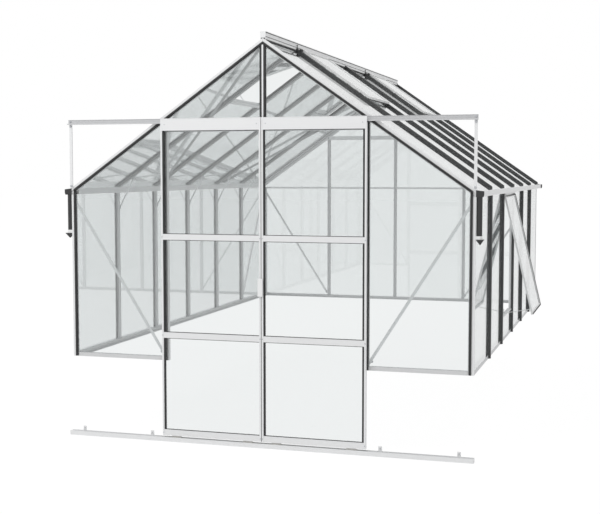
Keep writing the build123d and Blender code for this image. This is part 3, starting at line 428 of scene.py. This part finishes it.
def hexagon_head(name, flats, height, thread):
    shape = bmesh.new()
    top = WASHER + height
    disc(shape, flats * WASHER_REACH, 0, WASHER, 16)
    disc(shape, flats / math.sqrt(3), WASHER, top, 6)
    soften(shape, face_edges(shape, top), CORNER_CUT, 1)
    if thread:
        disc(shape, flats * THREAD_REACH, top, top + thread, 12, flats * THREAD_TIP)
    return finished_mesh(name, shape)


bolt = hexagon_head("bolt", flats=0.010, height=0.0045, thread=0)
nut = hexagon_head("nut", flats=0.010, height=0.0050, thread=0.003)
print("bolt and nut", len(bolt.polygons), len(nut.polygons), "faces")

# %% [markdown]
# Rivets and screws are low domes.  A flat disc is rounded over by a bevel of its rim, and a
# screw has a slot pressed in: its top face is inset, narrowed and pushed down.


# %% Rivets and screws
DOME_ROUND = 0.8  # rounding of the rim, by the height
SLOT_RIM = 0.12  # rim left round the slotted face, by the radius
SLOT_WIDE, SLOT_DEEP = 0.3, 0.45  # by the face's width and by the height


def low_dome(name, radius, height, slotted):
    shape = bmesh.new()
    disc(shape, radius, 0, height, 16)
    soften(shape, face_edges(shape, height), height * DOME_ROUND, 3)
    if slotted:
        top = max(shape.faces, key=lambda face: face.calc_center_median().z)
        bmesh.ops.inset_region(shape, faces=[top], thickness=radius * SLOT_RIM)
        bmesh.ops.scale(shape, verts=top.verts, vec=(1, SLOT_WIDE, 1))
        bmesh.ops.translate(shape, verts=top.verts, vec=(0, 0, -height * SLOT_DEEP))
    return finished_mesh(name, shape)


rivet = low_dome("rivet", radius=0.0035, height=0.0014, slotted=False)
screw = low_dome("screw", radius=0.0040, height=0.0022, slotted=True)

# %% [markdown]
# Fixings of metal on metal are taken as zinc plated steel: a little darker and bluer than
# the bars, with a fine change of tone.

# %% Plated steel
plated_steel = plain_skin("plated_steel", (0.62, 0.63, 0.65, 1), (0.46, 0.47, 0.49, 1),
                          rough=0.32, peel_scale=1200.0, peel=0.1, metallic=0.7)


# %% Where things are on the roof and the walls
def on_roof(side, y, up, out):
    """A point on a slope: metres up it from the eaves, and out from the bar plane."""
    return Vector((side * (HALF - up * math.cos(SLOPE) + out * math.sin(SLOPE)), y,
                   EAVES + up * math.sin(SLOPE) + out * math.cos(SLOPE)))


def roof_outward(side):
    return Vector((side * math.sin(SLOPE), 0, math.cos(SLOPE)))


SIDES = (-1, 1)
SLOPE_LENGTH = HALF / math.cos(SLOPE)
BARS = [FRONT + BAY * bay for bay in range(1, BAYS_ALONG)]
print("bars at", [round(y, 3) for y in BARS], "slope length", round(SLOPE_LENGTH, 4))

# %% [markdown]
# Each knee brace is a flat bar beside a wall bar and a roof bar, with a nut on its rear face
# at the foot and at the head.

# %% Nuts of the knee braces
AHEAD, BACK, UP = Vector((0, -1, 0)), Vector((0, 1, 0)), Vector((0, 0, 1))
KNEE_FACE = 0.009  # rear face of a knee brace, behind the middle of its bar
KNEE_NUTS = ((0.003, 0.019), (0.113, 0.230))  # inward of the bar plane, and above the brace's foot
knee_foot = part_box("knee_braces")[0].z
knee_places = []
for side in SIDES:
    for y in BARS:
        for inward, rise in KNEE_NUTS:
            knee_places.append(((side * (HALF - inward), y + KNEE_FACE, knee_foot + rise), BACK))
repeated("knee_nuts", nut, knee_places, "house", plated_steel)

# %% [markdown]
# The flat braces are bolted near both ends, on the face that looks into the house.  The sills
# are bolted down through their inner foot to the low wall, and the rear tie to the gable bars.


# %% Bolts of the flat braces, the sills and the tie
def near_ends(start, end, inset):
    """Two places on a flat bar, a little in from its ends."""
    run = (end - start).normalized()
    return start + run * inset, end - run * inset


BRACE_HEAD, BRACE_FOOT = 0.985, 0.040  # heights of the ends of a gable brace
BRACE_FACE = 0.005  # inner face of a gable brace, outward of the bar plane
BAR_HALF = 0.014
JAMB_EDGE = 0.005  # foot of the door gable's brace, beyond the flange of the jamb
GABLE_INSET, ROOF_INSET = 0.016, 0.014
ROOF_FACE = -0.009  # inner face of a roof brace, from the roof's bar plane
ROOF_FOOT, ROOF_HEAD = 0.05, 0.06  # ends of a roof brace, from the eaves and from the apex
ROOF_END = 0.04  # its head, from the gable's bar plane
SILL_IN, SILL_WALL = 0.024, 0.002  # middle of the sill's inner foot, and its thickness
TIE_WALL, TIE_MIDDLE = 0.003, 0.019
sill_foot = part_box("base_sills")[0].z
jamb_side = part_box("door_jambs")[1].x
tie_low, tie_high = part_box("rear_gable_tie")
frame_places = []
for side in SIDES:
    head = Vector((side * (HALF - BAR_HALF), 0, BRACE_HEAD))
    for foot_x, face, way in ((jamb_side + JAMB_EDGE, FRONT - BRACE_FACE, BACK),
                              (BAY + BAR_HALF, REAR + BRACE_FACE, AHEAD)):
        foot = Vector((side * foot_x, 0, BRACE_FOOT))
        for end in near_ends(head, foot, GABLE_INSET):
            frame_places.append(((end.x, face, end.z), way))
    for foot_y, head_y in ((FRONT + 2 * BAY, FRONT + ROOF_END), (REAR - 2 * BAY, REAR - ROOF_END)):
        low = on_roof(side, foot_y, ROOF_FOOT, ROOF_FACE)
        high = on_roof(side, head_y, SLOPE_LENGTH - ROOF_HEAD, ROOF_FACE)
        for end in near_ends(low, high, ROOF_INSET):
            frame_places.append((end, -roof_outward(side)))
    for y in BARS + [FRONT + BAY / 2, REAR - BAY / 2]:
        frame_places.append(((side * (HALF - SILL_IN), y + BAY / 4, sill_foot + SILL_WALL), UP))
for x in (-BAY, 0, BAY):
    frame_places.append(((x, tie_high.y - TIE_WALL, tie_low.z + TIE_MIDDLE), AHEAD))
repeated("frame_bolts", bolt, frame_places, "house", plated_steel)

# %% [markdown]
# The door track hangs on the header and on a strut at each end, and the bottom track is held
# by tabs.  Their bolts face the front.  The tabs have low screws, because an open door
# passes close in front of them.

# %% Bolts of the tracks
STRUT_MIDDLE = 0.012  # middle of a strut, outward of the side wall's bar plane
STRUT_FOOT_BOLT, STRUT_HEAD_BOLT = 0.014, 0.010  # above the strut's foot, and below the track
TRACK_WALL, TRACK_BOLT = 0.003, 0.011  # the track's back wall, and its bolt below the top edge
TAB_PLACES = (0.735, 1.205)  # fixing tabs of the bottom track, each side of the middle
TAB_WALL, TAB_SCREW = 0.002, 0.012  # thickness of a tab, and its screw below the top edge
track_low, track_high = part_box("door_top_track")
strut_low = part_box("track_struts")[0]
tab_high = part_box("door_bottom_track")[1]
track_places, tab_places = [], []
for side in SIDES:
    middle = side * (HALF + STRUT_MIDDLE)
    track_places.append(((middle, strut_low.y, strut_low.z + STRUT_FOOT_BOLT), AHEAD))
    track_places.append(((middle, strut_low.y, track_low.z - STRUT_HEAD_BOLT), AHEAD))
    track_places.append(((middle, track_high.y - TRACK_WALL, track_high.z - TRACK_BOLT), AHEAD))
    for x in TAB_PLACES:
        tab_places.append(((side * x, tab_high.y - TAB_WALL, tab_high.z - TAB_SCREW), AHEAD))
repeated("track_bolts", bolt, track_places, "house", plated_steel)
repeated("tab_screws", screw, tab_places, "house", plated_steel)

# %% [markdown]
# Each door leaf has screws on the front of its stiles, at three of its rails, and two rivets
# on its hood plate.  These ride on the leaf.

# %% Screws and rivets of the doors
LEAF_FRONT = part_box("door_frame_left")[0].y
RAIL_MIDDLES = (-0.448, 0.166, 0.778)
OUTER_SCREW, INNER_SCREW = 0.0055, 0.0075  # from the leaf's outer edge, and from the doors' middle
OUTER_RIVET, INNER_RIVET = 0.026, 0.028
RIVET_HEIGHT = 1.468
HOOD_INSET = 0.001  # the hood plate, behind the front of the stiles
LEAVES = {
    "left": (-1, "left_door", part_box("door_frame_left")[0].x),
    "right": (1, "right_door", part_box("door_frame_right")[1].x),
}
for name, (side, body, outer) in LEAVES.items():
    screws = [((x, LEAF_FRONT, z), AHEAD) for z in RAIL_MIDDLES
              for x in (outer - side * OUTER_SCREW, side * INNER_SCREW)]
    repeated(f"door_screws_{name}", screw, screws, body, plated_steel)
    rivets = [((x, LEAF_FRONT + HOOD_INSET, RIVET_HEIGHT), AHEAD)
              for x in (outer - side * OUTER_RIVET, side * INNER_RIVET)]
    repeated(f"hood_rivets_{name}", rivet, rivets, body, plated_steel)

# %% [markdown]
# A pane of a door sits in black rubber, which shows as a thin dark line where it meets a
# rail.  A strip is a long block, and only the edges of its face at the lowest y are rounded.


# %% Rubber of the door panes
def strip(shape, low, high, worn=0.0008):
    """A straight block between two corners, the edges of its face at the lowest y rounded."""
    made = bmesh.ops.create_cube(shape, size=1.0)["verts"]
    size = Vector(high) - Vector(low)
    bmesh.ops.scale(shape, verts=made, vec=size)
    bmesh.ops.translate(shape, verts=made, vec=(Vector(low) + Vector(high)) / 2)
    front = [edge for edge in shape.edges if edge.verts[0] in made and edge.verts[1] in made
             and all(abs(v.co.y - low[1]) < 1e-7 for v in edge.verts)]
    soften(shape, front, worn, 2)


# Heights of the rails' edges, and the way from each to its pane.
RAIL_EDGES = ((-0.429, 1), (0.148, -1), (0.184, 1), (0.760, -1), (0.796, 1), (1.430, -1))
PANE_SPANS = {"left": (-0.629, -0.013), "right": (0.025, 0.629)}  # the right has a seal at both stiles
RUBBER_TALL = 0.0035
RUBBER_FRONT, RUBBER_BACK = 0.004, 0.0095  # behind the front of the leaf
for name, (side, body, outer) in LEAVES.items():
    shape = bmesh.new()
    near, far = PANE_SPANS[name]
    for z, way in RAIL_EDGES:
        low, high = sorted((z, z + way * RUBBER_TALL))
        strip(shape, (near, LEAF_FRONT + RUBBER_FRONT, low), (far, LEAF_FRONT + RUBBER_BACK, high))
    mesh = finished_mesh(f"pane_rubber_{name}", shape)
    piece(mesh, body, black_rubber)
    print(mesh.name, len(mesh.polygons), "faces")

# %% [markdown]
# Where the leaves meet there is a dark line.  It is made as a soft black fin on the right
# leaf, which would close the gap between them.

# %% Meeting fin
FIN_LOW = (-0.0014, LEAF_FRONT + 0.0035, -0.465)
FIN_HIGH = (0.002, LEAF_FRONT + 0.018, 1.425)  # on the side of the right leaf's inner stile
FIN_ROUND = 0.001
shape = bmesh.new()
strip(shape, FIN_LOW, FIN_HIGH, FIN_ROUND)
piece(finished_mesh("meeting_fin", shape), "right_door", black_rubber)
print("meeting fin", round(FIN_HIGH[2] - FIN_LOW[2], 3), "m tall")

# %% [markdown]
# Two fine dark lines run along each face of the ridge, under its crest lip and under its
# rib.  They are painted shade: thin black strips that stand for the shade under the lip and the rib.
# A black moulded block sits at each end of a vent's hinge, where it could stop the hinge
# from sliding along, and a pin stands at the first block.

# %% Ridge shade lines
LINE_INNER = 0.0158  # just under the faces of the ridge
LINE_INSET = 0.004  # from the ridge's ends
LINE_ROUND = 0.0003
LIP_DROP, RIB_UNDERSIDE = 0.0042, 1.9875
SHADE_LINES = ((ridge_high.z - LIP_DROP, 0.0182, 0.0030), (RIB_UNDERSIDE, 0.0172, 0.0018))  # top, reach, height
shape = bmesh.new()
for side in SIDES:
    for top, reach, tall in SHADE_LINES:
        low_x, high_x = sorted((side * LINE_INNER, side * reach))
        strip(shape, (low_x, ridge_low.y + LINE_INSET, top - tall),
              (high_x, ridge_high.y - LINE_INSET, top), LINE_ROUND)
# painted shade: black strips for the shade under the ridge's lip and rib
piece(finished_mesh("ridge_shade_lines", shape), "house", black_rubber)
print("four lines along the ridge")

# %% Hinge stops
STOP_SIZE = (0.028, 0.018, 0.013)
STOP_ROUND = 0.003
STOP_DROP, STOP_OUT = 0.034, 0.0277  # down the slope from the apex, and out from the bar plane
STOP_BARS = (1, 2, 4, 5)  # the bars at the sides of the vents, counted from the door gable
shape = bmesh.new()
block = bmesh.ops.create_cube(shape, size=1.0)["verts"]
bmesh.ops.scale(shape, verts=block, vec=STOP_SIZE)
bmesh.ops.translate(shape, verts=block, vec=(0, 0, STOP_SIZE[2] / 2))
upper = [edge for edge in shape.edges if max(v.co.z for v in edge.verts) > STOP_SIZE[2] / 2]
soften(shape, upper, STOP_ROUND, 3)
stop = finished_mesh("stop", shape)
stop_places = [(on_roof(side, FRONT + BAY * bar, SLOPE_LENGTH - STOP_DROP, STOP_OUT), roof_outward(side))
               for side in SIDES for bar in STOP_BARS]
repeated("hinge_stops", stop, stop_places, "house", black_plastic)

# %% Hinge pins
SHAFT, HEAD, COLLAR = 0.0022, 0.0042, 0.0052  # radii
SHAFT_TOP, HEAD_TOP, COLLAR_TOP = 0.022, 0.026, 0.003
PIN_ROUND = 0.0015
PIN_OUT, PIN_HEIGHT = 0.0197, 1.9775
PIN_BARS = (1, 4)  # the bar at the front of each vent
shape = bmesh.new()
disc(shape, SHAFT, 0, SHAFT_TOP, 10)
disc(shape, HEAD, SHAFT_TOP, HEAD_TOP, 12)
soften(shape, face_edges(shape, HEAD_TOP), PIN_ROUND, 2)
disc(shape, COLLAR, 0, COLLAR_TOP, 12)
pin = finished_mesh("pin", shape)
pin_places = [((side * PIN_OUT, FRONT + BAY * bar, PIN_HEIGHT), UP) for side in SIDES for bar in PIN_BARS]
repeated("hinge_pins", pin, pin_places, "house", black_plastic)

# %% [markdown]
# A peg stands on the window's sill bar, at the foot of the stay.  A real stay is dropped
# over its peg by one of its holes; here the peg stands just behind the end of the stay.

# %% Stay peg of the side window
STAY_DIP = 0.0016  # lowest corner of the stay, below the top of the sill bar
PEG_IN = 0.004  # inward of the wall's bar plane
sill_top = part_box("window_stays")[0].z + STAY_DIP
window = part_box("side_window_frame")
peg_place = (HALF - PEG_IN, (window[0].y + window[1].y) / 2, sill_top)
repeated("stay_peg", pin, [(peg_place, UP)], "house", plated_steel)

# %% [markdown]
# The studio is a pale floor under the doors and a white world.  The camera, and what glass
# and metal mirror, see plain white.  One large soft lamp and a dimmer share of the world
# light the house.


# %% Studio
EYE_SHARE = 0.9  # how much of the floor is plain white to the eye; the rest takes shadow
FLOOR_WHITE = 1.05  # a little over 1, because the paper's tenth is less bright than white
PAPER = (0.9, 0.9, 0.9, 1)
FLOOR_GAP, FLOOR_REACH = 0.001, 60.0
WORLD_LIGHT = 0.66


def seen_by_eye_or_mirror(start):
    """1 for a ray from the camera or off glass and metal, 0 for light that falls on things."""
    path = start.add("ShaderNodeLightPath").socket.node
    camera, glossy, through = [Wire(start.tree, path.outputs[name]) for name in (
        "Is Camera Ray", "Is Glossy Ray", "Is Transmission Ray")]
    either = start.add("ShaderNodeMath", {"operation": "MAXIMUM"}, {0: camera, 1: glossy})
    return start.add("ShaderNodeMath", {"operation": "MAXIMUM"}, {0: either, 1: through})


def studio_floor(height, reach):
    """A plain pale floor, mostly white to the eye, and paper to the light that falls on it."""
    shape = bmesh.new()
    bmesh.ops.create_grid(shape, x_segments=1, y_segments=1, size=reach)
    bmesh.ops.translate(shape, verts=shape.verts, vec=(0, FRONT, height))
    mesh = bpy.data.meshes.new("studio_floor")
    shape.to_mesh(mesh)
    shape.free()
    floor = bpy.data.objects.new("studio_floor", mesh)
    bpy.context.scene.collection.objects.link(floor)
    made, start = new_finish("studio_floor")
    paper = start.add("ShaderNodeBsdfDiffuse", sockets={"Color": PAPER})
    white = start.add("ShaderNodeEmission", sockets={"Color": (1, 1, 1, 1), "Strength": FLOOR_WHITE})
    seen = seen_by_eye_or_mirror(start)
    shader = start.add("ShaderNodeMixShader", sockets={0: seen * EYE_SHARE, 1: paper, 2: white})
    surface(start, shader)
    mesh.materials.append(made)


def studio_world(light):
    world = bpy.data.worlds.new("studio")
    bpy.context.scene.world = world
    world.use_nodes = True
    world.node_tree.nodes.clear()
    start = Wire(world.node_tree)
    strength = seen_by_eye_or_mirror(start) * (1 - light) + light
    back = start.add("ShaderNodeBackground", sockets={"Color": (1, 1, 1, 1), "Strength": strength})
    start.add("ShaderNodeOutputWorld", sockets={"Surface": back})


def soft_lamp(name, place, target, size, power):
    data = bpy.data.lights.new(name, "AREA")
    data.shape = "SQUARE"
    data.size = size
    data.energy = power
    lamp = bpy.data.objects.new(name, data)
    lamp.location = place
    lamp.rotation_euler = (Vector(target) - Vector(place)).to_track_quat("-Z", "Y").to_euler()
    bpy.context.scene.collection.objects.link(lamp)


studio_floor(cad_low.z - FLOOR_GAP, FLOOR_REACH)
studio_world(WORLD_LIGHT)
soft_lamp("key_lamp", place=(-4.0, -10.0, 7.0), target=(0, -1.5, 0.8), size=5.0, power=290)
bpy.context.scene.view_settings.view_transform = "Standard"
bpy.context.scene.cycles.transparent_max_bounces = 24  # two for each pane that a ray crosses
print("studio ready, floor at", round(cad_low.z - FLOOR_GAP, 4))

# %% [markdown]
# The camera stands in front of the door gable and to its right, at the eye height of a person
# on the ground that the doors reach down to.

# %% Camera
lens = bpy.data.cameras.new("camera")
lens.sensor_width = 36.0
lens.lens = 68.68
camera = bpy.data.objects.new("camera", lens)
camera.location = (2.208, -10.395, 1.177)
camera.rotation_euler = (math.radians(90 - 4.24), 0, 0.292)
bpy.context.scene.collection.objects.link(camera)
bpy.context.scene.camera = camera
print("camera at", tuple(round(v, 3) for v in camera.location))
